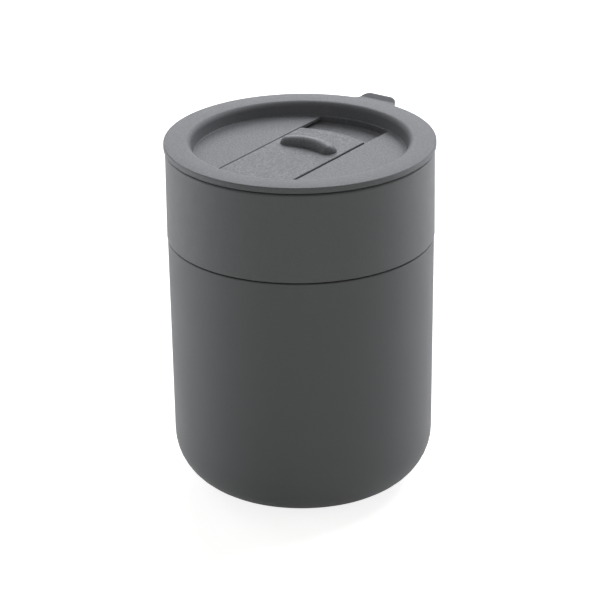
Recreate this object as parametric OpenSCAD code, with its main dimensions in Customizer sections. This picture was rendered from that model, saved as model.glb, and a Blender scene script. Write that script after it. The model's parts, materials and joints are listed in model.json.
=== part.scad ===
// Lidded soup mug: a ceramic cup in a silicone sleeve, closed by a push-in lid with a sliding sip cover.
// The origin is the middle of the base. +Z is up, and +Y points to the pull tab of the lid.

/* [Cup] */
// Height of the cup from the table to the brim
cup_height = 119.2; // [100:0.1:150]
// Outside diameter of the bare band under the brim
band_dia = 89.8; // [82:0.2:100]
// Height of the bare band
band_height = 30.7; // [22:0.1:45]
// Wall of the bare band, from its face to the mouth
band_wall = 5.3; // [4:0.1:7]
// Rounding of the brim outside
brim_round = 1; // [0.8:0.1:2.5]
// Rounding of the brim inside
mouth_round = 1.2; // [0.4:0.1:1.6]
// Straight run of the mouth below the plug of the lid
mouth_run = 3.5; // [1:0.5:8]
// Wall of the covered part just above the foot
lower_wall = 4.8; // [3:0.1:7]
// Thickness of the cup floor
cup_floor = 5; // [3:0.5:10]
// Rounding between the inside wall and the floor
inner_round = 14; // [6:0.5:18]
// Rounding of the lower edge of the band
band_edge = 0.4; // [0.2:0.1:0.8]

/* [Sleeve] */
// Thickness of the sleeve
sleeve_wall = 2.2; // [1.5:0.1:3.5]
// How far the sleeve lies inside the face of the band at the seam
sleeve_step = 0.2; // [0:0.05:0.8]
// Radius that the sleeve loses from the seam to the foot
sleeve_taper = 1; // [0:0.1:2.5]
// Rounding of the foot
foot_round = 18; // [10:0.5:20]
// Gap of the seam between the sleeve and the band
seam_gap = 0.45; // [0.2:0.05:1]
// Clearance between the sleeve and the cup inside it
sleeve_fit = 0.1; // [0.05:0.05:0.3]
// Rounding of the upper edge of the sleeve
sleeve_edge = 0.5; // [0.2:0.1:0.9]

/* [Lid] */
// How far the lid stands out past the band
lid_overhang = 0.5; // [0:0.1:1.5]
// Distance of the seat under the rim from the face of the band
seat_inset = 2.3; // [1.2:0.1:2.4]
// Gap between the brim and the rim, outside the seat
rim_gap = 0.5; // [0.2:0.1:1]
// Thickness of the rim at its outer edge
rim_edge = 2; // [1.5:0.1:3]
// Rounding of the outer edge of the rim
rim_round = 0.4; // [0.2:0.1:0.7]
// Slope of the rim, rising towards the dish, in degrees
rim_slope = 0.5; // [0:0.5:8]
// Rounding where the rim turns down into the dish
crest_round = 2.4; // [1.2:0.1:3]
// Depth of the dish below the outer edge of the rim
dish_depth = 4.5; // [3:0.1:6]
// Lean of the dish wall, in degrees
dish_draft = 12; // [4:1:20]
// Rounding between the dish wall and the dish floor
dish_fillet = 0.4; // [0.3:0.1:1.5]
// Thickness of the plug around the foot of the dish wall
dish_wall = 2; // [1.5:0.05:4]
// Thickness of the dish floor
floor_wall = 2; // [1.5:0.1:3]
// Gap between the plug and the mouth
plug_gap = 2; // [1.2:0.1:3]
// Depth of the plug below the brim
plug_depth = 10.2; // [9:0.1:16]
// Wall of the plug below the dish floor
skirt_wall = 2.4; // [2:0.1:4]
// Rounding of the lower edges of the plug
skirt_edge = 0.6; // [0.2:0.1:0.9]

/* [Lid seal] */
// Height of the seal
seal_height = 4.6; // [3:0.2:5]
// Depth of the groove that holds the seal
seal_groove = 1; // [0.6:0.1:1.3]
// Distance of the seal below the brim
seal_drop = 2.7; // [2:0.1:3.5]
// How far the band of the seal stands out of its groove
seal_proud = 0.4; // [0.2:0.1:0.7]
// Thickness of each lip of the seal at its tip
lip_edge = 0.7; // [0.4:0.1:1]
// Thickness of each lip of the seal at its root
lip_root = 1.5; // [1:0.1:1.6]
// How far each lip rises from its root to its tip
lip_rise = 0.5; // [0.2:0.1:0.6]
// Clearance between the lips and the mouth
lip_fit = 0.3; // [0.1:0.05:0.5]
// Clearance between the seal and its groove
seal_fit = 0.05; // [0.05:0.05:0.15]

/* [Pull tab] */
// Width of the tab across its round corners
tab_width = 14; // [9:0.2:20]
// Reach of the tab past the rim
tab_reach = 3.9; // [3.5:0.1:8]
// Flat run of the tab past the rim, before it turns up
tab_flat = 0.9; // [0.5:0.1:2.5]
// Angle by which the end of the tab turns up, in degrees
tab_tilt = 22; // [5:1:35]
// Radius of the turn on the upper side of the tab
tab_bend = 2.5; // [1:0.1:4]
// Rounding of the upper and lower edge at the end of the tab
tab_edge = 0.5; // [0.2:0.1:0.8]
// Rounding of the corners of the tab
tab_corner = 3.2; // [1.5:0.1:4]
// Hollow rounding where the tab leaves the rim
tab_fillet = 4; // [2:0.1:7]

/* [Sliding cover] */
// Width of the channel in the dish floor
channel_width = 27.2; // [24:0.2:34]
// Depth of the channel below the dish floor
channel_depth = 2; // [1.8:0.1:3]
// Thickness of the channel floor
channel_floor = 1.8; // [1.2:0.1:3]
// Thickness of the ledges over the tongues of the slider
ledge = 1; // [0.8:0.1:1.1]
// Reach of each tongue under its ledge
tongue = 1.2; // [0.6:0.1:2]
// Gap between the slider and the sides and ends of the channel
slide_gap = 0.6; // [0.3:0.05:0.7]
// Gap under the slider, and over its tongues
slide_lift = 0.15; // [0.1:0.05:0.25]
// How far the top of the slider stands above the dish floor
slider_proud = 0.2; // [0:0.05:0.4]
// Travel of the slider from closed to open
travel = 13; // [11.5:0.5:16]
// Length of the sip hole across the channel
sip_length = 15; // [9:0.5:18]
// Width of the sip hole along the channel
sip_width = 6.5; // [4:0.5:8]
// Distance of the sip hole from the front end of the channel
sip_inset = 4.7; // [4.5:0.1:7]

/* [Thumb bar] */
// Thickness of the round rod that makes the bar
bar_width = 6.2; // [4:0.2:7]
// Height of the middle of the bar above the slider
bar_height = 3; // [1:0.1:3.1]
// Length of the bar between the middles of its round ends
bar_length = 16; // [8:0.2:18]
// Radius of the round ends of the bar, seen from above
bar_end = 3.3; // [2.5:0.1:4]
// Radius of the bend of the rod along its middle line
bar_bend = 18.5; // [15:0.5:40]
// Lean of the bend, in degrees, which sets the ends of the bar lower than its middle
bar_lean = 32.5; // [0:0.5:45]
// Distance of the middle of the bar behind the middle of the mug
bar_place = 6.35; // [0:0.05:12]

/* [Slider seal] */
// Thickness of the pad over the sip hole
pad_wall = 0.9; // [0.6:0.1:1.1]
// Width of the pad around the sip hole
pad_margin = 1.6; // [1:0.1:2]
// Rounding of the corners of the pad
pad_corner = 2; // [0.5:0.1:3]
// Clearance between the pad and its pocket
pad_fit = 0.05; // [0.05:0.05:0.15]
// Gap between the pad and the channel floor
pad_lift = 0.05; // [0.05:0.01:0.1]

/* [Hidden] */
$fn = 96;

ceramic_grey = [0.30, 0.31, 0.32];
silicone_grey = [0.29, 0.30, 0.31];
plastic_grey = [0.40, 0.41, 0.42];
seal_grey = [0.24, 0.25, 0.26];

// Longest straight step along a rounded corner, and the fewest and most steps in one corner
arc_chord = 0.5;
arc_least = 3;
arc_most = 24;
// Overshoot of a cut past the faces that it opens
cut_past = 1;

// Radii and heights of the cup and the sleeve
band_r = band_dia / 2;
mouth_r = band_r - band_wall;
seam_z = cup_height - band_height;
sleeve_top_r = band_r - sleeve_step;
sleeve_top_z = seam_z - seam_gap;
sleeve_foot_r = sleeve_top_r - sleeve_taper;
sleeve_lean = sleeve_taper / sleeve_top_z;
cover = sleeve_wall + sleeve_fit;
cup_bottom_z = sleeve_wall;
cup_inside_z = cup_bottom_z + cup_floor;
cup_inside_r = sleeve_foot_r - cover - lower_wall;
mouth_low_z = cup_height - plug_depth - mouth_run;

// Radii and heights of the lid
lid_r = band_r + lid_overhang;
seat_r = band_r - seat_inset;
rim_low_z = cup_height + rim_gap;
rim_z = rim_low_z + rim_edge;
land_z = rim_z - dish_depth;
land_low_z = land_z - floor_wall;
plug_r = mouth_r - plug_gap;
plug_z = cup_height - plug_depth;
skirt_r = plug_r - skirt_wall;
dish_foot_r = plug_r - dish_wall;
dish_r = dish_foot_r - dish_fillet * tan(45 - dish_draft / 2);
// The dish wall and the slope of the rim meet here before the crest is rounded
crest_z = (rim_z + (lid_r - dish_foot_r + land_z * tan(dish_draft)) * tan(rim_slope))
    / (1 + tan(dish_draft) * tan(rim_slope));
crest_r = dish_foot_r + (crest_z - land_z) * tan(dish_draft);

// Seal ring
seal_top_z = cup_height - seal_drop;
seal_low_z = seal_top_z - seal_height;
groove_r = plug_r - seal_groove;
seal_in_r = groove_r + seal_fit;
seal_out_r = plug_r + seal_proud;
lip_r = mouth_r - lip_fit;

// Channel, slider and sip hole
channel_half = channel_width / 2;
channel_z = land_z - channel_depth;
groove_half = channel_half + tongue + slide_gap;
trough_half = groove_half + channel_floor;
trough_z = channel_z - channel_floor;
// The trough runs into the wall of the plug, short of the groove for the seal
trough_r = (skirt_r + groove_r) / 2;
ledge_z = land_z - ledge;
slider_half = channel_half - slide_gap;
tongue_half = channel_half + tongue;
slider_end_r = dish_r - slide_gap;
slider_z = channel_z + slide_lift;
slider_top_z = land_z + slider_proud;
tongue_z = ledge_z - slide_lift;
sip_y = -dish_r + sip_inset + sip_width / 2;
sip_round = sip_width / 2;
sip_run = sip_length - sip_width;

// Thumb bar
bar_r = bar_width / 2;
bar_angle = asin(bar_length / 2 / bar_bend);
bar_end_y = bar_place - bar_bend * (1 - cos(bar_angle)) * cos(bar_lean);
bar_low_z = (slider_z + slider_top_z) / 2;

// Slider seal
pad_z = channel_z + pad_lift;
pad_x = sip_length + 2 * pad_margin;
pad_y = sip_width + 2 * pad_margin;

// Pull tab
tab_half = tab_width / 2;
tab_tip_y = lid_r + tab_reach;
tab_bend_y = lid_r + tab_flat;
tab_under_y = tab_bend_y + rim_edge * tan(tab_tilt / 2);
tab_root_y = (crest_r + crest_round + lid_r) / 2;
// Middle of the right corner, and of the hollow rounding that touches both the corner and the rim
corner_at = [tab_half - tab_corner, tab_tip_y - tab_corner];
fillet_far = lid_r + tab_fillet;
fillet_turn = atan2(corner_at[0], corner_at[1]) + acos(
    (pow(fillet_far, 2) + pow(norm(corner_at), 2) - pow(tab_fillet + tab_corner, 2))
    / (2 * fillet_far * norm(corner_at))
);
fillet_at = fillet_far * [sin(fillet_turn), cos(fillet_turn)];
rim_at = lid_r * [sin(fillet_turn), cos(fillet_turn)];

function unit(v) = v / norm(v);
function flat(corner) = [corner[0], corner[1]];
function heading(v) = atan2(v[1], v[0]);
// Signed turn between two headings, the short way round
function turn(from, to) = to - from - 360 * round((to - from) / 360);

// Points of the arc that rounds the corner [x, y, radius] between its two neighbours
function corner_arc(before, corner, after) =
    let (
        here = flat(corner),
        u = unit(flat(before) - here),
        v = unit(flat(after) - here),
        half = acos(u * v) / 2,
        centre = here + unit(u + v) * corner[2] / sin(half),
        start = heading(here + u * corner[2] / tan(half) - centre),
        sweep = turn(start, heading(here + v * corner[2] / tan(half) - centre)),
        length = corner[2] * abs(sweep) * PI / 180,
        steps = min(arc_most, max(arc_least, ceil(length / arc_chord)))
    )
    [for (i = [0:steps]) centre + corner[2] * [cos(start + sweep * i / steps), sin(start + sweep * i / steps)]];

// Points of a closed outline of corners [x, y, radius], where a radius of 0 leaves the corner sharp
function rounded(corners) =
    let (count = len(corners))
    [
        for (i = [0:count - 1])
            let (corner = corners[i])
            each corner[2] > 0
                ? corner_arc(corners[(i + count - 1) % count], corner, corners[(i + 1) % count])
                : [flat(corner)]
    ];

// Solid of revolution of an outline of corners [radius, height, rounding]
module turned(corners) {
    rotate_extrude()
        polygon(rounded(corners));
}

// Radius of the outer face of the sleeve at a height
function sleeve_r(z) = sleeve_foot_r + sleeve_lean * z;

// Outline between the axis and a skin that lies a given depth under the outer face of the sleeve
function under_sleeve(depth, bottom, top, edge) = [
    [0, bottom, 0],
    [sleeve_r(bottom) - depth, bottom, foot_round - depth],
    [sleeve_r(top) - depth, top, edge],
    [0, top, 0]
];

module cup() {
    color(ceramic_grey)
        difference() {
            union() {
                turned(under_sleeve(cover, cup_bottom_z, seam_z + band_edge, 0));
                turned([
                    [0, seam_z, 0],
                    [band_r, seam_z, band_edge],
                    [band_r, cup_height, brim_round],
                    [0, cup_height, 0]
                ]);
            }
            turned([
                [0, cup_inside_z, 0],
                [cup_inside_r, cup_inside_z, inner_round],
                [mouth_r, mouth_low_z, 0],
                [mouth_r, cup_height + cut_past, 0],
                [0, cup_height + cut_past, 0]
            ]);
            mouth_edge();
        }
}

// Ring that rounds the inner edge of the brim when it is taken away
module mouth_edge() {
    rotate_extrude()
        difference() {
            translate([mouth_r - cut_past, cup_height - mouth_round])
                square([mouth_round + cut_past, mouth_round + cut_past]);
            translate([mouth_r + mouth_round, cup_height - mouth_round])
                circle(mouth_round);
        }
}

module sleeve() {
    color(silicone_grey)
        difference() {
            turned(under_sleeve(0, 0, sleeve_top_z, sleeve_edge));
            turned(under_sleeve(sleeve_wall, sleeve_wall, sleeve_top_z + cut_past, 0));
        }
}

// Plan of the right half of the pull tab, with a hollow rounding at its root and a round corner at its tip
module tab_half_plan() {
    difference() {
        polygon([[0, tab_root_y], rim_at, fillet_at, corner_at, [0, corner_at[1]]]);
        translate(fillet_at)
            circle(tab_fillet);
    }
    translate(corner_at)
        circle(tab_corner);
    translate([0, tab_root_y])
        square([corner_at[0], tab_tip_y - tab_root_y]);
}

// Side view of the pull tab, as reach and height: flat, then turned up
function tab_side() = rounded([
    [tab_root_y, rim_low_z, 0],
    [tab_under_y, rim_low_z, tab_bend + rim_edge],
    [tab_tip_y, rim_low_z + (tab_tip_y - tab_under_y) * tan(tab_tilt), tab_edge],
    [tab_tip_y, rim_z + (tab_tip_y - tab_bend_y) * tan(tab_tilt), tab_edge],
    [tab_bend_y, rim_z, tab_bend],
    [tab_root_y, rim_z, 0]
]);

module tab() {
    intersection() {
        translate([0, 0, rim_low_z])
            linear_extrude(rim_edge + tab_reach)
                for (side = [0, 1])
                    mirror([side, 0])
                        tab_half_plan();
        rotate([90, 0, 90])
            linear_extrude(2 * fillet_at[0], center = true)
                polygon(tab_side());
    }
}

// Part of the dish floor within a half width, between two heights and inside a radius
module strip(half, low, high, radius) {
    translate([0, 0, low])
        linear_extrude(high - low)
            intersection() {
                square([2 * half, 2 * radius + cut_past], center = true);
                circle(radius);
            }
}

// Plan of the sip hole
module sip_plan() {
    translate([0, sip_y]) {
        square([sip_run, sip_width], center = true);
        for (side = [-1, 1])
            translate([side * sip_run / 2, 0])
                circle(sip_round);
    }
}

module lid() {
    color(plastic_grey)
        difference() {
            union() {
                turned([
                    [0, land_low_z, 0],
                    [0, land_z, 0],
                    [dish_foot_r, land_z, dish_fillet],
                    [crest_r, crest_z, crest_round],
                    [lid_r, rim_z, rim_round],
                    [lid_r, rim_low_z, rim_round],
                    [seat_r, rim_low_z, 0],
                    [seat_r, cup_height, 0],
                    [plug_r, cup_height, 0],
                    [plug_r, seal_top_z, 0],
                    [groove_r, seal_top_z, 0],
                    [groove_r, seal_low_z, 0],
                    [plug_r, seal_low_z, 0],
                    [plug_r, plug_z, skirt_edge],
                    [skirt_r, plug_z, skirt_edge],
                    [skirt_r, land_low_z, 0]
                ]);
                strip(trough_half, trough_z, ledge_z, trough_r);
                tab();
            }
            strip(channel_half, channel_z, land_z + cut_past, dish_r);
            strip(groove_half, channel_z, ledge_z, dish_r);
            translate([0, 0, trough_z - cut_past])
                linear_extrude(channel_floor + 2 * cut_past)
                    sip_plan();
        }
}

module lid_seal() {
    color(seal_grey)
        turned([
            [seal_in_r, seal_low_z + seal_fit, 0],
            [seal_out_r, seal_low_z + seal_fit, 0],
            [lip_r, seal_low_z + seal_fit + lip_rise, 0],
            [lip_r, seal_low_z + seal_fit + lip_rise + lip_edge, 0],
            [seal_out_r, seal_low_z + seal_fit + lip_root, 0],
            [seal_out_r, seal_top_z - seal_fit - lip_root - lip_rise, 0],
            [lip_r, seal_top_z - seal_fit - lip_edge, 0],
            [lip_r, seal_top_z - seal_fit, 0],
            [seal_in_r, seal_top_z - seal_fit, 0]
        ]);
}

// Plan of the slider within a half width: its ends follow the dish wall when it is closed and when it is open
module slider_plan(half) {
    intersection() {
        square([2 * half, 2 * dish_r], center = true);
        circle(slider_end_r);
        translate([0, -travel])
            circle(slider_end_r);
    }
}

// Plan of the room for the thumb bar, with round ends
module bar_plan() {
    square([bar_length, 2 * slider_end_r], center = true);
    for (side = [-1, 1])
        translate([side * bar_length / 2, bar_end_y])
            circle(bar_end);
}

// Part of a leaning ring of round rod, above a level inside the slider
module thumb_bar() {
    intersection() {
        translate([0, bar_place, slider_top_z + bar_height - bar_r])
            rotate([bar_lean, 0, 0])
                translate([0, -bar_bend, 0])
                    rotate_extrude()
                        translate([bar_bend, 0])
                            circle(bar_r);
        translate([0, 0, bar_low_z])
            linear_extrude(bar_width)
                bar_plan();
    }
}

// Plan of the pad over the sip hole, grown by a margin
module pad_plan(grow) {
    x = pad_x / 2 + grow;
    y = pad_y / 2 + grow;
    translate([0, sip_y])
        polygon(rounded([
            [-x, -y, pad_corner],
            [x, -y, pad_corner],
            [x, y, pad_corner],
            [-x, y, pad_corner]
        ]));
}

module slider() {
    color(plastic_grey)
        difference() {
            union() {
                translate([0, 0, slider_z])
                    linear_extrude(slider_top_z - slider_z)
                        slider_plan(slider_half);
                translate([0, 0, slider_z])
                    linear_extrude(tongue_z - slider_z)
                        slider_plan(tongue_half);
                thumb_bar();
            }
            translate([0, 0, slider_z - cut_past])
                linear_extrude(pad_z + pad_wall - slider_z + cut_past)
                    pad_plan(pad_fit);
        }
}

module slider_seal() {
    color(seal_grey)
        translate([0, 0, pad_z])
            linear_extrude(pad_wall)
                pad_plan(0);
}

cup();
sleeve();
lid();
lid_seal();
slider();
slider_seal();
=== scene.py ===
"""Looks of a lidded soup mug: finished meshes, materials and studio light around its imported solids."""

import json
import math

import bmesh
import bpy
from mathutils import Matrix, Vector


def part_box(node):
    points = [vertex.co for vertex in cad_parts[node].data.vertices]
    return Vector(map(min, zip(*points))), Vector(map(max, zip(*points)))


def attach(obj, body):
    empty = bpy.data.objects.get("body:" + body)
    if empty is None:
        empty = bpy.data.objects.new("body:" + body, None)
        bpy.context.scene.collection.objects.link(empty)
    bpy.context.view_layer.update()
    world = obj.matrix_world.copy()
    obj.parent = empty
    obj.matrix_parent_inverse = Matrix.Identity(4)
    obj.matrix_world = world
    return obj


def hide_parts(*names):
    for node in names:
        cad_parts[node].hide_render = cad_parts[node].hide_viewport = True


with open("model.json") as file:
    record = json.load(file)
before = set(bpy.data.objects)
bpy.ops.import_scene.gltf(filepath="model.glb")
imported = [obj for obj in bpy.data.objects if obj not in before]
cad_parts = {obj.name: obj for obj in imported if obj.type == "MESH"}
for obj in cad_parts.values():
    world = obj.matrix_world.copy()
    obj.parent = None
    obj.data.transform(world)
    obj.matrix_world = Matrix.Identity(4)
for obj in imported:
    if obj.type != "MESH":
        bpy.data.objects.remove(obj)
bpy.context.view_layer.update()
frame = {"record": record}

# Lengths below are in millimetres, and meshes are in metres
MM = 0.001
# Segments round a full turn
TURNS = 192
# Widest step and fewest steps along an arc, and steps along a softened edge
ARC_STEP = math.radians(7.5)
ARC_LEAST = 3
EDGE_STEPS = 4
# Edges that bend more than this are shaded as creases
CREASE = math.radians(35)
# Overshoot of a cutter past the faces that it opens
PAST = 1.0
# Lengths below this count as nothing
TINY = 1e-6


def span(node):
    """Lowest and highest corner of a CAD node, in millimetres."""
    low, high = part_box(node)
    return low / MM, high / MM


cup_low, cup_high = span("cup")
sleeve_high = span("sleeve")[1]
lid_low, lid_high = span("lid")
seal_low, seal_high = span("lid_seal")
slider_low, slider_high = span("slider")
pad_low, pad_high = span("slider_seal")

# Cup and sleeve
band_r = cup_high.x
brim_z = cup_high.z
band_height = 30.7
band_edge = 0.4
band_wall = 5.3
brim_round = 1.0
mouth_round = 1.2
mouth_run = 13.7
mouth_blend = 30.0
lower_wall = 4.8
cup_floor = 5.0
inner_round = 14.0
sleeve_wall = cup_low.z
sleeve_top_z = sleeve_high.z
sleeve_step = 0.2
sleeve_taper = 1.0
sleeve_edge = 0.5
sleeve_fit = 0.1
foot_round = 18.0
seam_z = brim_z - band_height
mouth_r = band_r - band_wall
sleeve_top_r = band_r - sleeve_step
sleeve_foot_r = sleeve_top_r - sleeve_taper
cover = sleeve_wall + sleeve_fit

# Lid. Its rim rises from the edge to a low dome and falls a little to the crest round the dish
lid_r = lid_high.x
plug_z = lid_low.z
rim_gap = 0.5
rim_edge = 2.0
rim_round = 0.4
rim_slope = math.radians(3.5)
crest_fall = math.radians(2)
crest_round = 2.0
dome_r = 41.4
dome_round = 40.0
dish_depth = 4.5
dish_draft = math.radians(12)
dish_fillet = 0.4
dish_wall = 2.0
floor_wall = 2.0
plug_gap = 2.0
seat_inset = 2.3
seat_edge = 0.2
skirt_wall = 2.4
skirt_edge = 0.6
rim_low_z = brim_z + rim_gap
rim_z = rim_low_z + rim_edge
land_z = rim_z - dish_depth
land_low_z = land_z - floor_wall
plug_r = mouth_r - plug_gap
seat_r = band_r - seat_inset
skirt_r = plug_r - skirt_wall
dish_foot_r = plug_r - dish_wall
dish_r = dish_foot_r - dish_fillet * math.tan(math.pi / 4 - dish_draft / 2)
dome_z = rim_z + (lid_r - dome_r) * math.tan(rim_slope)
crest_run = dome_r - dish_foot_r + land_z * math.tan(dish_draft)
crest_z = (dome_z - crest_run * math.tan(crest_fall)) / (1 - math.tan(dish_draft) * math.tan(crest_fall))
crest_r = dish_foot_r + (crest_z - land_z) * math.tan(dish_draft)

# Seal ring in its groove round the plug
seal_fit = 0.05
seal_groove = 1.0
seal_proud = 0.4
lip_edge = 0.7
lip_root = 1.5
lip_rise = 0.5
lip_round = 0.25
lip_r = seal_high.x
groove_r = plug_r - seal_groove
seal_in_r = groove_r + seal_fit
seal_out_r = plug_r + seal_proud

# Pull tab
tab_width = 14.0
tab_flat = 0.9
tab_tilt = math.radians(21)
tab_bend = 2.5
tab_corner = 3.2
tab_fillet = 4.0
tab_edge = 0.65
tab_cuts = 24
# Depth of the tab's hollow roundings in the rim, and the lift of its underside where it is inside the rim
tab_bite = 0.03
tab_sink = 0.04
tab_tip_y = lid_high.y
tab_root_y = (crest_r + crest_round + lid_r) / 2

# Channel, slider and sip hole
channel_width = 27.2
channel_depth = 2.0
channel_floor = 1.8
ledge = 1.0
slide_gap = 0.6
slider_proud = 0.2
sip_length = 15.0
sip_width = 6.5
sip_inset = 4.7
edge_round = 0.25
slider_corner = 0.5
slider_edge = 0.28
channel_half = channel_width / 2
channel_z = land_z - channel_depth
slider_half = channel_half - slide_gap
tongue_half = slider_high.x
groove_half = tongue_half + slide_gap
trough_half = groove_half + channel_floor
trough_z = channel_z - channel_floor
trough_r = (skirt_r + groove_r) / 2
ledge_z = land_z - ledge
slider_z = slider_low.z
slide_lift = slider_z - channel_z
tongue_z = ledge_z - slide_lift
slider_top_z = land_z + slider_proud
slider_end_r = -slider_low.y
travel = slider_end_r - slider_high.y
sip_y = -dish_r + sip_inset + sip_width / 2

# Thumb bar: a bent round rod with soft ends, partly sunk in the slider
bar_width = 6.2
bar_length = 16.4
bar_edge = 2.4
bar_bend = 19.8
bar_lean = math.radians(25)
bar_place = 6.35
bar_sink = 1.0
bar_steps = 25
bar_r = bar_width / 2
bar_height = slider_high.z - slider_top_z

# Pad under the slider
pad_corner = 2.0
pad_edge = 0.2
pad_fit = 0.05


def arc(centre, radius, start, end):
    """Points along an arc, from one heading to another."""
    steps = max(ARC_LEAST, math.ceil(abs(end - start) / ARC_STEP))
    headings = [start + (end - start) * i / steps for i in range(steps + 1)]
    return [Vector((centre[0] + radius * math.cos(h), centre[1] + radius * math.sin(h))) for h in headings]


def heading(v):
    """Direction of a flat vector, as an angle from the first axis."""
    return math.atan2(v[1], v[0])


def short_way(start, end):
    """End heading, moved by whole turns so that it is reached the short way round."""
    return end - math.tau * round((end - start) / math.tau)


def rounded(corners):
    """Points of a closed outline of corners (x, y, radius), where a radius of 0 leaves the corner sharp."""
    points = []
    for i, (x, y, radius) in enumerate(corners):
        here = Vector((x, y))
        if radius == 0:
            points.append(here)
            continue
        before = (Vector(corners[i - 1][:2]) - here).normalized()
        after = (Vector(corners[(i + 1) % len(corners)][:2]) - here).normalized()
        half = before.angle(after) / 2
        centre = here + (before + after).normalized() * radius / math.sin(half)
        start = heading(here + before * radius / math.tan(half) - centre)
        end = heading(here + after * radius / math.tan(half) - centre)
        points += arc(centre, radius, start, short_way(start, end))
    return points


def inset(points, distance):
    """Closed outline, running anticlockwise, moved inwards by a distance."""
    moved = []
    for i, here in enumerate(points):
        along = (here - points[i - 1]).normalized()
        onward = (points[(i + 1) % len(points)] - here).normalized()
        normal = Vector((-along.y, along.x))
        other = Vector((-onward.y, onward.x))
        moved.append(here + (normal + other) * distance / (1 + normal.dot(other)))
    return moved


def bridge(mesh, ring, following):
    """Faces between two rings of as many points, either of which may be a single point."""
    count = max(len(ring), len(following))
    if count == 1:
        return
    for i in range(count):
        j = (i + 1) % count
        loop = [ring[i % len(ring)], ring[j % len(ring)]]
        loop += [following[j % len(following)], following[i % len(following)]]
        mesh.faces.new(list(dict.fromkeys(loop)))


def piece_from(mesh, name):
    """Object made from a bmesh whose lengths are in millimetres."""
    bmesh.ops.recalc_face_normals(mesh, faces=mesh.faces)
    bmesh.ops.scale(mesh, vec=(MM, MM, MM), verts=mesh.verts)
    data = bpy.data.meshes.new(name)
    mesh.to_mesh(data)
    mesh.free()
    piece = bpy.data.objects.new(name, data)
    bpy.context.scene.collection.objects.link(piece)
    return piece


def lathe(name, outline):
    """Solid of a closed outline of (radius, height) points turned round the Z axis."""
    mesh = bmesh.new()
    angles = [math.tau * i / TURNS for i in range(TURNS)]
    rings = []
    for radius, height in outline:
        places = [(radius * math.cos(a), radius * math.sin(a), height) for a in angles]
        rings.append([mesh.verts.new(p) for p in (places if radius > 0 else places[:1])])
    for ring, following in zip(rings, rings[1:] + rings[:1]):
        bridge(mesh, ring, following)
    return piece_from(mesh, name)


def stack(name, outline, levels):
    """Solid over a flat outline, which each (inset, height) level moves inwards and up."""
    mesh = bmesh.new()
    loops = []
    for distance, height in levels:
        loops.append([mesh.verts.new((p.x, p.y, height)) for p in inset(outline, distance)])
    for loop, following in zip(loops, loops[1:]):
        bridge(mesh, loop, following)
    mesh.faces.new(loops[0])
    mesh.faces.new(loops[-1])
    return piece_from(mesh, name)


def quarter(radius):
    """Pairs (sideways, up) along a quarter round that starts sideways by the radius and ends up by it."""
    angles = [math.pi / 2 * i / EDGE_STEPS for i in range(EDGE_STEPS + 1)]
    return [(radius * (1 - math.sin(a)), radius * (1 - math.cos(a))) for a in angles]


def soft_levels(low, high, low_edge, high_edge):
    """Levels of a plate whose lower and upper edges are rounded."""
    lower = [(side, low + up) for side, up in quarter(low_edge)] if low_edge else [(0, low)]
    upper = [(side, high - up) for side, up in reversed(quarter(high_edge))] if high_edge else [(0, high)]
    return lower + upper


def flared_levels(low, high, edge):
    """Levels of a cutter that rounds the upper edge that it leaves in a face at the upper height."""
    angles = [math.pi / 2 * i / EDGE_STEPS for i in range(EDGE_STEPS + 1)]
    flare = [(-edge * (1 - math.cos(a)), high - edge + edge * math.sin(a)) for a in angles]
    return [(0, low)] + flare + [(-edge, high + PAST)]


def apply_modifiers(piece):
    """Replaces a piece's mesh by the result of its modifiers."""
    graph = bpy.context.evaluated_depsgraph_get()
    data = bpy.data.meshes.new_from_object(piece.evaluated_get(graph))
    piece.modifiers.clear()
    piece.data = data


def combine(piece, other, operation):
    """Joins another solid to a piece, cuts it away or keeps what both share, and removes the other."""
    modifier = piece.modifiers.new(other.name, "BOOLEAN")
    modifier.operation = operation
    modifier.solver = "EXACT"
    modifier.object = other
    apply_modifiers(piece)
    bpy.data.objects.remove(other)


def join(piece, other):
    combine(piece, other, "UNION")


def cut(piece, other):
    combine(piece, other, "DIFFERENCE")


def keep(piece, other):
    combine(piece, other, "INTERSECT")


def sleeve_r(z):
    """Radius of the outer face of the sleeve at a height."""
    return sleeve_foot_r + sleeve_taper * z / sleeve_top_z


def make_cup():
    """Ceramic cup: a bare band with a rounded brim, and a thinner lower body with a round foot."""
    inside_z = sleeve_wall + cup_floor
    return lathe("cup_glazed", rounded([
        (0, sleeve_wall, 0),
        (sleeve_r(sleeve_wall) - cover, sleeve_wall, foot_round - cover),
        (sleeve_r(seam_z) - cover, seam_z, band_edge),
        (band_r, seam_z, band_edge),
        (band_r, brim_z, brim_round),
        (mouth_r, brim_z, mouth_round),
        (mouth_r, brim_z - mouth_run, mouth_blend),
        (sleeve_foot_r - cover - lower_wall, inside_z, inner_round),
        (0, inside_z, 0),
    ]))


def make_sleeve():
    """Silicone boot over the lower body and the base."""
    return lathe("sleeve_skin", rounded([
        (0, 0, 0),
        (sleeve_foot_r, 0, foot_round),
        (sleeve_top_r, sleeve_top_z, sleeve_edge),
        (sleeve_top_r - sleeve_wall, sleeve_top_z, sleeve_edge),
        (sleeve_r(sleeve_wall) - sleeve_wall, sleeve_wall, foot_round - sleeve_wall),
        (0, sleeve_wall, 0),
    ]))


def strip_outline(half, radius, rear_shift=0.0, corner=0.0):
    """Plan of a strip along Y within a half width, with both ends round about the Z axis or a shifted one."""
    lean = math.asin(half / radius)
    front = arc((0, 0), radius, -math.pi / 2 - lean, -math.pi / 2 + lean)
    rear = arc((0, rear_shift), radius, math.pi / 2 - lean, math.pi / 2 + lean)
    ends = [[(p.x, p.y, 0) for p in end] for end in (front, rear)]
    for end in ends:
        end[0] = (*end[0][:2], corner)
        end[-1] = (*end[-1][:2], corner)
    return rounded(ends[0] + ends[1])


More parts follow.
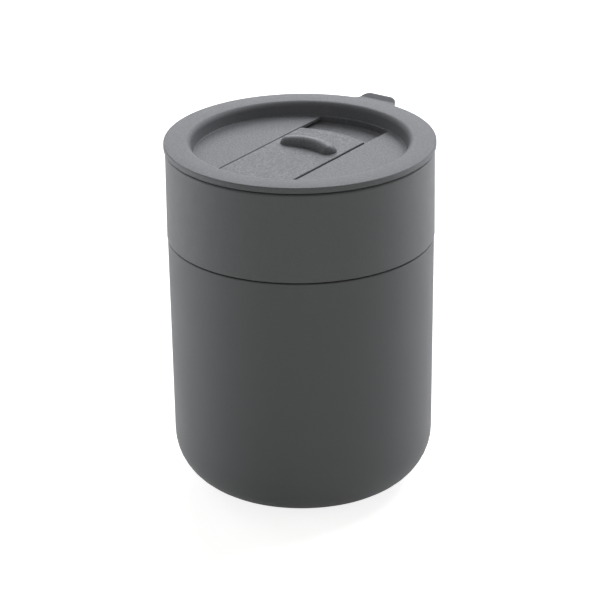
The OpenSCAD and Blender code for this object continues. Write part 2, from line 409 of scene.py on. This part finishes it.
def stadium(length, width, y):
    """Plan of a slot with round ends, lying along X."""
    run = (length - width) / 2
    right = arc((run, y), width / 2, -math.pi / 2, math.pi / 2)
    left = arc((-run, y), width / 2, math.pi / 2, 3 * math.pi / 2)
    return right + left


def tab_outline():
    """Plan of the pull tab and of its root in the rim, with hollow roundings at the rim and round corners."""
    corner = Vector((tab_width / 2 - tab_corner, tab_tip_y - tab_corner))
    far = lid_r + tab_fillet - tab_bite
    reach = (far ** 2 + corner.length_squared - (tab_fillet + tab_corner) ** 2) / (2 * far * corner.length)
    place = math.pi / 2 - math.atan2(corner.x, corner.y) - math.acos(reach)
    hollow = far * Vector((math.cos(place), math.sin(place)))
    inward = place - math.pi
    towards = heading(corner - hollow)
    side = arc(hollow, tab_fillet, short_way(towards, inward), towards)
    side += arc(corner, tab_corner, heading(hollow - corner), math.pi / 2)[1:]
    root = [Vector((side[0].x, tab_root_y))]
    right = root + side
    return right + [Vector((-p.x, p.y)) for p in reversed(right)]


def bend(run):
    """Rise of the tab at a distance past the corner where it turns up."""
    tangent = tab_bend * math.tan(tab_tilt / 2)
    if run < -tangent:
        return 0.0
    if run > tangent * math.cos(tab_tilt):
        return run * math.tan(tab_tilt)
    return tab_bend - math.sqrt(tab_bend ** 2 - (run + tangent) ** 2)


def make_tab():
    """Pull tab: a plate with rounded edges, cut across so that it can bend, then bent up past the rim."""
    low = rim_low_z + tab_sink
    tab = stack("tab", tab_outline(), soft_levels(low, rim_z, tab_edge, tab_edge))
    mesh = bmesh.new()
    mesh.from_mesh(tab.data)
    for i in range(1, tab_cuts):
        y = lid_r + (tab_tip_y - lid_r) * i / tab_cuts
        whole = mesh.verts[:] + mesh.edges[:] + mesh.faces[:]
        bmesh.ops.bisect_plane(mesh, geom=whole, plane_co=(0, y * MM, 0), plane_no=(0, 1, 0))
    upper_turn = lid_r + tab_flat
    lower_turn = upper_turn + rim_edge * math.tan(tab_tilt / 2)
    for vert in mesh.verts:
        y = vert.co.y / MM
        share = (vert.co.z / MM - low) / (rim_z - low)
        vert.co.z += MM * (share * bend(y - upper_turn) + (1 - share) * bend(y - lower_turn))
    mesh.to_mesh(tab.data)
    mesh.free()
    return tab


def make_lid():
    """Lid with its dish, plug, seal groove, trough, pull tab, channel for the slider and sip hole."""
    lid = lathe("lid_moulding", rounded([
        (0, land_low_z, 0),
        (0, land_z, 0),
        (dish_foot_r, land_z, dish_fillet),
        (crest_r, crest_z, crest_round),
        (dome_r, dome_z, dome_round),
        (lid_r, rim_z, rim_round),
        (lid_r, rim_low_z, rim_round),
        (seat_r, rim_low_z, seat_edge),
        (seat_r, brim_z, seat_edge),
        (plug_r, brim_z, edge_round),
        (plug_r, seal_high.z + seal_fit, edge_round),
        (groove_r, seal_high.z + seal_fit, 0),
        (groove_r, seal_low.z - seal_fit, 0),
        (plug_r, seal_low.z - seal_fit, edge_round),
        (plug_r, plug_z, skirt_edge),
        (skirt_r, plug_z, skirt_edge),
        (skirt_r, land_low_z, edge_round),
    ]))
    trough = strip_outline(trough_half, trough_r)
    join(lid, stack("trough", trough, soft_levels(trough_z, ledge_z, skirt_edge, 0)))
    join(lid, make_tab())
    channel = strip_outline(channel_half, dish_r)
    cut(lid, stack("channel", channel, flared_levels(channel_z, land_z, edge_round)))
    cut(lid, stack("groove", strip_outline(groove_half, dish_r), [(0, channel_z), (0, ledge_z)]))
    sip = stadium(sip_length, sip_width, sip_y)
    cut(lid, stack("sip_hole", sip, flared_levels(trough_z - PAST, channel_z, edge_round)))
    return lid


def make_lid_seal():
    """Seal ring with two lips."""
    low = seal_low.z
    high = seal_high.z
    return lathe("lid_seal_ring", rounded([
        (seal_in_r, low, lip_round),
        (seal_out_r, low, lip_round),
        (lip_r, low + lip_rise, lip_round),
        (lip_r, low + lip_rise + lip_edge, lip_round),
        (seal_out_r, low + lip_root, lip_round),
        (seal_out_r, high - lip_root - lip_rise, lip_round),
        (lip_r, high - lip_edge, lip_round),
        (lip_r, high, lip_round),
        (seal_in_r, high, lip_round),
    ]))


def make_thumb_bar():
    """Thumb bar: a round rod with soft ends, bent along a leaning arc and cut off inside the slider."""
    across = Vector((1, 0, 0))
    lean = Vector((0, math.cos(bar_lean), math.sin(bar_lean)))
    normal = across.cross(lean)
    middle = Vector((0, bar_place, slider_top_z + bar_height - bar_r)) - lean * bar_bend
    sweep = math.asin(bar_length / 2 / bar_bend)
    end = arc((bar_r - bar_edge, 0), bar_edge, 0, math.pi / 2)[1:] + [Vector((0, bar_edge))]
    stations = [(-sweep, -p.y, p.x) for p in reversed(end)]
    stations += [(sweep * (2 * i / bar_steps - 1), 0, bar_r) for i in range(bar_steps + 1)]
    stations += [(sweep, p.y, p.x) for p in end]
    mesh = bmesh.new()
    rings = []
    for turn, push, radius in stations:
        outward = across * math.sin(turn) + lean * math.cos(turn)
        onward = across * math.cos(turn) - lean * math.sin(turn)
        centre = middle + outward * bar_bend + onward * push
        circle = arc((0, 0), radius, 0, math.tau)[:-1] if radius > TINY else [Vector((0, 0))]
        rings.append([mesh.verts.new(centre + outward * p.x + normal * p.y) for p in circle])
    for ring, following in zip(rings, rings[1:]):
        bridge(mesh, ring, following)
    bar = piece_from(mesh, "thumb_bar")
    levels = [(0, slider_top_z - bar_sink), (0, slider_high.z + PAST)]
    keep(bar, stack("above", strip_outline(slider_half, slider_end_r), levels))
    return bar


def make_slider():
    """Slider with two side tongues, a thumb bar and a pocket for its pad."""
    plan = strip_outline(slider_half, slider_end_r, -travel, slider_corner)
    slider = stack("slider_cover", plan, soft_levels(slider_z, slider_top_z, 0, slider_edge))
    tongues = strip_outline(tongue_half, slider_end_r, -travel, slider_corner)
    join(slider, stack("tongues", tongues, soft_levels(slider_z, tongue_z, 0, edge_round)))
    join(slider, make_thumb_bar())
    pocket = pad_outline(-pad_fit)
    cut(slider, stack("pocket", pocket, [(0, slider_z - PAST), (0, pad_high.z)]))
    return slider


def pad_outline(shrink):
    """Plan of the pad under the slider, with round corners, moved inwards by a distance."""
    low = (pad_low.x + shrink, pad_low.y + shrink)
    high = (pad_high.x - shrink, pad_high.y - shrink)
    return rounded([
        (low[0], low[1], pad_corner),
        (high[0], low[1], pad_corner),
        (high[0], high[1], pad_corner),
        (low[0], high[1], pad_corner),
    ])


def make_slider_seal():
    """Flat pad in the pocket of the slider."""
    return stack("slider_seal_pad", pad_outline(0), soft_levels(pad_low.z, pad_high.z, pad_edge, pad_edge))


# Finishes. Sizes and depths of grains are in millimetres, and pairs are ranges of a shade or a roughness.
# Glaze of the cup
ripple_size = 3.5
ripple_depth = 0.03
ripple_shade = (0.98, 1.02)
speck_size = 0.45
speck_depth = 0.006
speck_shade = (0.965, 1.035)
glaze_specular = 0.35
glaze_rough = (0.56, 0.64)
inside_polish = 0.26
# Silicone of the sleeve
handling_size = 14.0
handling_shade = (1.03, 1.07)
rubber_size = 0.22
rubber_depth = 0.012
rubber_shade = (0.965, 1.035)
rubber_specular = 0.3
rubber_sheen = 0.03
rubber_sheen_rough = 0.4
rubber_rough = (0.6, 0.67)
# Plastic. Its shade swings with a fine and with a coarse grain, which turn into each other over a height
tone_size = 9.0
tone_shade = (0.985, 1.015)
grain_size = 0.55
grain_depth = 0.03
grain_rough = 0.608
grain_swing = (0.08, 0.18)
grain_gleam = 0.65
coarse_fade = 1.0
worn_polish = 0.1
plastic_specular = 0.345
# Silicone of the seals
flow_size = 5.0
flow_shade = (0.95, 1.05)
seal_grain_size = 0.3
seal_grain_depth = 0.008
seal_sheen = 0.04
seal_rough = (0.4, 0.5)
# Part of its range in which noise mostly stays, and its octaves for plain and fine grain
NOISE_LOW = 0.3
NOISE_HIGH = 0.7
PLAIN_DETAIL = 2
FINE_DETAIL = 3


class Finish:
    """Material with one shader, whose colour, gloss and relief vary with noise in the object's own space."""

    def __init__(self, name, **constants):
        self.material = bpy.data.materials.new(name)
        self.material.use_nodes = True
        self.nodes = self.material.node_tree.nodes
        self.links = self.material.node_tree.links
        self.shader = self.nodes["Principled BSDF"]
        self.place = self.nodes.new("ShaderNodeTexCoord").outputs["Object"]
        for socket, value in constants.items():
            self.shader.inputs[socket.replace("_", " ")].default_value = value

    def add(self, kind, inputs=(), **settings):
        """New node with some settings, and with its inputs set to numbers or linked to outputs."""
        made = self.nodes.new(kind)
        for setting, value in settings.items():
            setattr(made, setting, value)
        for socket, value in dict(inputs).items():
            if isinstance(value, bpy.types.NodeSocket):
                self.links.new(value, made.inputs[socket])
            else:
                made.inputs[socket].default_value = value
        return made

    def noise(self, size, detail=PLAIN_DETAIL):
        """Soft noise from 0 to 1 whose grains are about a size in millimetres across."""
        scale = 1 / (size * MM)
        made = self.add("ShaderNodeTexNoise", {"Vector": self.place, "Scale": scale, "Detail": detail})
        return made.outputs["Fac"]

    def mapped(self, value, low, high, start=NOISE_LOW, end=NOISE_HIGH):
        """Value that runs from low to high while another runs from start to end."""
        limits = {"From Min": start, "From Max": end, "To Min": low, "To Max": high}
        return self.add("ShaderNodeMapRange", {"Value": value, **limits}).outputs["Result"]

    def maths(self, operation, first, second):
        made = self.add("ShaderNodeMath", {0: first, 1: second}, operation=operation)
        return made.outputs["Value"]

    def part(self, axis):
        """One coordinate in the object's own space, in metres."""
        return self.add("ShaderNodeSeparateXYZ", {"Vector": self.place}).outputs[axis]

    def reach(self):
        """Distance from the axis of the mug, in metres."""
        flat = self.add("ShaderNodeVectorMath", {0: self.place, 1: (1, 1, 0)}, operation="MULTIPLY")
        length = self.add("ShaderNodeVectorMath", {0: flat.outputs["Vector"]}, operation="LENGTH")
        return length.outputs["Value"]

    def tint(self, colour, factor):
        """Base colour, made darker or lighter by a factor near 1."""
        made = self.add("ShaderNodeVectorMath", {0: colour, "Scale": factor}, operation="SCALE")
        self.links.new(made.outputs["Vector"], self.shader.inputs["Base Color"])

    def gloss(self, roughness):
        self.links.new(roughness, self.shader.inputs["Roughness"])

    def relief(self, *layers):
        """Bumps of (height, depth in millimetres) layers, one over the other."""
        under = {}
        for height, depth in layers:
            made = self.add("ShaderNodeBump", {"Height": height, "Distance": depth * MM, **under})
            under = {"Normal": made.outputs["Normal"]}
        self.links.new(under["Normal"], self.shader.inputs["Normal"])


def slot_colour(slot):
    """Colour that the record gives to a material slot."""
    return next(m["base_color"] for m in frame["record"]["materials"] if m["slot"] == slot)


def ceramic():
    """Matt glaze with faint specks and a slight ripple. It is shinier inside the mug."""
    finish = Finish("ceramic", Specular_IOR_Level=glaze_specular)
    ripple = finish.noise(ripple_size)
    speck = finish.noise(speck_size, FINE_DETAIL)
    inside = finish.mapped(finish.reach(), inside_polish, 0, mouth_r * MM, (mouth_r + mouth_round) * MM)
    shade = finish.maths("MULTIPLY", finish.mapped(speck, *speck_shade), finish.mapped(ripple, *ripple_shade))
    finish.tint(slot_colour("ceramic"), shade)
    finish.gloss(finish.maths("SUBTRACT", finish.mapped(ripple, *glaze_rough), inside))
    finish.relief((ripple, ripple_depth), (speck, speck_depth))
    return finish.material


def sleeve_silicone():
    """Matt rubber with a very fine texture and a trace of handling."""
    sheen = {"Sheen_Weight": rubber_sheen, "Sheen_Roughness": rubber_sheen_rough}
    finish = Finish("sleeve_silicone", Specular_IOR_Level=rubber_specular, **sheen)
    cloud = finish.noise(handling_size, FINE_DETAIL)
    grain = finish.noise(rubber_size)
    handling = finish.mapped(cloud, *handling_shade)
    shade = finish.maths("MULTIPLY", handling, finish.mapped(grain, *rubber_shade))
    finish.tint(slot_colour("sleeve_silicone"), shade)
    finish.gloss(finish.mapped(cloud, *rubber_rough))
    finish.relief((grain, rubber_depth))
    return finish.material


def grained_plastic(slot, coarse_z, worn_z, top_z):
    """Plastic from a spark-eroded mould, grained more coarsely up to a height, and worn near its top."""
    finish = Finish(slot, Specular_IOR_Level=plastic_specular)
    cloud = finish.noise(tone_size)
    grain = finish.noise(grain_size, FINE_DETAIL)
    height = finish.part("Z")
    coarse = finish.mapped(height, 1, 0, coarse_z * MM, (coarse_z + coarse_fade) * MM)
    worn = finish.mapped(height, 0, worn_polish, worn_z * MM, top_z * MM)
    swing = finish.maths("MULTIPLY", finish.mapped(grain, -1, 1), finish.mapped(coarse, *grain_swing, 0, 1))
    shade = finish.maths("MULTIPLY", finish.mapped(cloud, *tone_shade), finish.maths("ADD", swing, 1))
    finish.tint(slot_colour(slot), shade)
    gleam = finish.maths("ADD", finish.maths("MULTIPLY", swing, grain_gleam), worn)
    finish.gloss(finish.maths("SUBTRACT", grain_rough, gleam))
    finish.relief((grain, grain_depth))
    return finish.material


def seal_silicone():
    """Darker satin rubber with faint flow marks."""
    finish = Finish("seal_silicone", Sheen_Weight=seal_sheen)
    cloud = finish.noise(flow_size, FINE_DETAIL)
    grain = finish.noise(seal_grain_size)
    finish.tint(slot_colour("seal_silicone"), finish.mapped(cloud, *flow_shade))
    finish.gloss(finish.mapped(grain, *seal_rough))
    finish.relief((grain, seal_grain_depth))
    return finish.material


bar_worn_z = slider_top_z + bar_height / 2
FINISHES = {
    "ceramic": ceramic(),
    "sleeve_silicone": sleeve_silicone(),
    "lid_plastic": grained_plastic("lid_plastic", land_z, dome_z, lid_high.z),
    "slider_plastic": grained_plastic("slider_plastic", slider_high.z, bar_worn_z, slider_high.z),
    "seal_silicone": seal_silicone(),
}
PIECES = (
    (make_cup, "cup", "mug", "ceramic"),
    (make_sleeve, "sleeve", "mug", "sleeve_silicone"),
    (make_lid, "lid", "lid", "lid_plastic"),
    (make_lid_seal, "lid_seal", "lid", "seal_silicone"),
    (make_slider, "slider", "slider", "slider_plastic"),
    (make_slider_seal, "slider_seal", "slider", "seal_silicone"),
)
for make, node, body, slot in PIECES:
    piece = make()
    piece.data.shade_smooth()
    piece.data.set_sharp_from_angle(angle=CREASE)
    piece.data.materials.clear()
    piece.data.materials.append(FINISHES[slot])
    piece.modifiers.new("face normals", "WEIGHTED_NORMAL").keep_sharp = True
    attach(piece, body)
    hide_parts(node)


def direction(azimuth, elevation):
    """Unit vector towards an azimuth, counted from -Y towards +X, and up by an elevation."""
    level = math.cos(elevation)
    return Vector((math.sin(azimuth) * level, -math.cos(azimuth) * level, math.sin(elevation)))


# Camera
view_azimuth = math.radians(35)
view_elevation = math.radians(23)
view_roll = math.radians(-0.728)
view_distance = 1150.0
view_target = Vector((-0.5, -0.35, 63.7))
view_lens = 203.8
to_camera = direction(view_azimuth, view_elevation)
camera = bpy.data.objects.new("camera", bpy.data.cameras.new("camera"))
camera.data.lens = view_lens
turned = to_camera.to_track_quat("Z", "Y").to_matrix().to_4x4() @ Matrix.Rotation(view_roll, 4, "Z")
camera.matrix_world = Matrix.Translation((view_target + to_camera * view_distance) * MM) @ turned
bpy.context.scene.collection.objects.link(camera)
bpy.context.scene.camera = camera

# Floor
floor_r = 3000.0
floor_paint = (0.72, 0.72, 0.68, 1)
# White that the floor adds near the mug, and where that turns into full white
floor_lift = 0.82
lift_near = 250.0
lift_far = 800.0
# Painted shadow: share of that white that the mug mirrors from the floor close in front of it, where its own
# shadow lies
floor_shade = 0.5
shade_near = 110.0
shade_far = 240.0
shade_run = 40.0


def seen(tree, *rays):
    """Output that is 1 for light that reaches the camera in one of the given ways, and 0 for other light."""
    path = tree.nodes.new("ShaderNodeLightPath")
    total = path.outputs[rays[0]]
    for ray in rays[1:]:
        either = tree.nodes.new("ShaderNodeMath")
        either.operation = "MAXIMUM"
        tree.links.new(total, either.inputs[0])
        tree.links.new(path.outputs[ray], either.inputs[1])
        total = either.outputs["Value"]
    return total


def floor_finish():
    """Pale matt floor that looks white, keeps the shadow of the mug and can be looked through from below. Its
    mirrored white carries a painted shadow in front of the mug.
    """
    finish = Finish("floor")
    finish.nodes.remove(finish.shader)
    tree = finish.material.node_tree
    paint = finish.add("ShaderNodeBsdfDiffuse", {"Color": floor_paint})
    lift = finish.mapped(finish.reach(), floor_lift, 1, lift_near * MM, lift_far * MM)
    # Painted shadow: the white that glossy rays see is dimmed on the floor close in front of the mug
    ahead = finish.add("ShaderNodeVectorMath", {0: finish.place, 1: to_camera}, operation="DOT_PRODUCT")
    behind = finish.mapped(ahead.outputs["Value"], 1, 0, 0, shade_run * MM)
    beyond = finish.mapped(finish.reach(), floor_shade, 1, shade_near * MM, shade_far * MM)
    bright = finish.maths("MAXIMUM", behind, beyond)
    mirrored = finish.maths("MULTIPLY", seen(tree, "Is Glossy Ray"), bright)
    white = finish.maths("MAXIMUM", seen(tree, "Is Camera Ray", "Is Transmission Ray"), mirrored)
    glow = finish.add("ShaderNodeEmission", {"Strength": finish.maths("MULTIPLY", lift, white)})
    upper = finish.add("ShaderNodeAddShader", {0: paint.outputs["BSDF"], 1: glow.outputs["Emission"]})
    clear = finish.add("ShaderNodeBsdfTransparent").outputs["BSDF"]
    below = finish.add("ShaderNodeNewGeometry").outputs["Backfacing"]
    sides = finish.add("ShaderNodeMixShader", {0: below, 1: upper.outputs["Shader"], 2: clear})
    finish.links.new(sides.outputs["Shader"], finish.nodes["Material Output"].inputs["Surface"])
    return finish.material


floor_mesh = bmesh.new()
bmesh.ops.create_circle(floor_mesh, cap_ends=True, segments=TURNS, radius=floor_r)
floor = piece_from(floor_mesh, "floor")
floor.data.materials.append(floor_finish())

# Soft boxes and low strips, as metres away, width and height. The strips stay below the top of the lid
box = (1.25, 0.6, 0.6)
strip = (1.0, 0.6, 0.1)
aim = Vector((0, 0, 0.06))
cool = (0.985, 1.0, 1.05)
warm = (0.97, 1.0, 0.86)
# Lamps: name, degrees round from the camera to its right, degrees up, shape, watts and colour
LAMPS = (
    ("back", 180, 30, box, 6.0, cool),
    ("back_right", 135, 42, box, 7.6, cool),
    ("back_left", 225, 25, box, 2.1, cool),
    ("right_strip", 116, 0, strip, 3.4, cool),
    ("left_strip", 252, 0, strip, 3.8, cool),
    ("front_strip", 0, 0, strip, 0.5, warm),
)
for name, turn, rise, (far, wide, tall), power, colour in LAMPS:
    out = direction(view_azimuth + math.radians(turn), math.radians(rise))
    light = bpy.data.lights.new(name, "AREA")
    light.shape = "RECTANGLE"
    light.size = wide
    light.size_y = tall
    light.energy = power
    light.color = colour
    lamp = bpy.data.objects.new(name, light)
    lamp.location = aim + out * far
    lamp.rotation_euler = out.to_track_quat("Z", "Y").to_euler()
    lamp.visible_camera = False
    bpy.context.scene.collection.objects.link(lamp)

# White surroundings, which the camera sees in full and which light the mug faintly from all round
dome_light = 0.17
world = bpy.data.worlds.new("studio")
bpy.context.scene.world = world
world.use_nodes = True
tree = world.node_tree
strength = tree.nodes.new("ShaderNodeMapRange")
strength.inputs["To Min"].default_value = dome_light
tree.links.new(seen(tree, "Is Camera Ray", "Is Glossy Ray", "Is Transmission Ray"), strength.inputs["Value"])
sky = tree.nodes["Background"].inputs
sky["Color"].default_value = (1, 1, 1, 1)
tree.links.new(strength.outputs["Result"], sky["Strength"])

bpy.context.scene.view_settings.view_transform = "Standard"
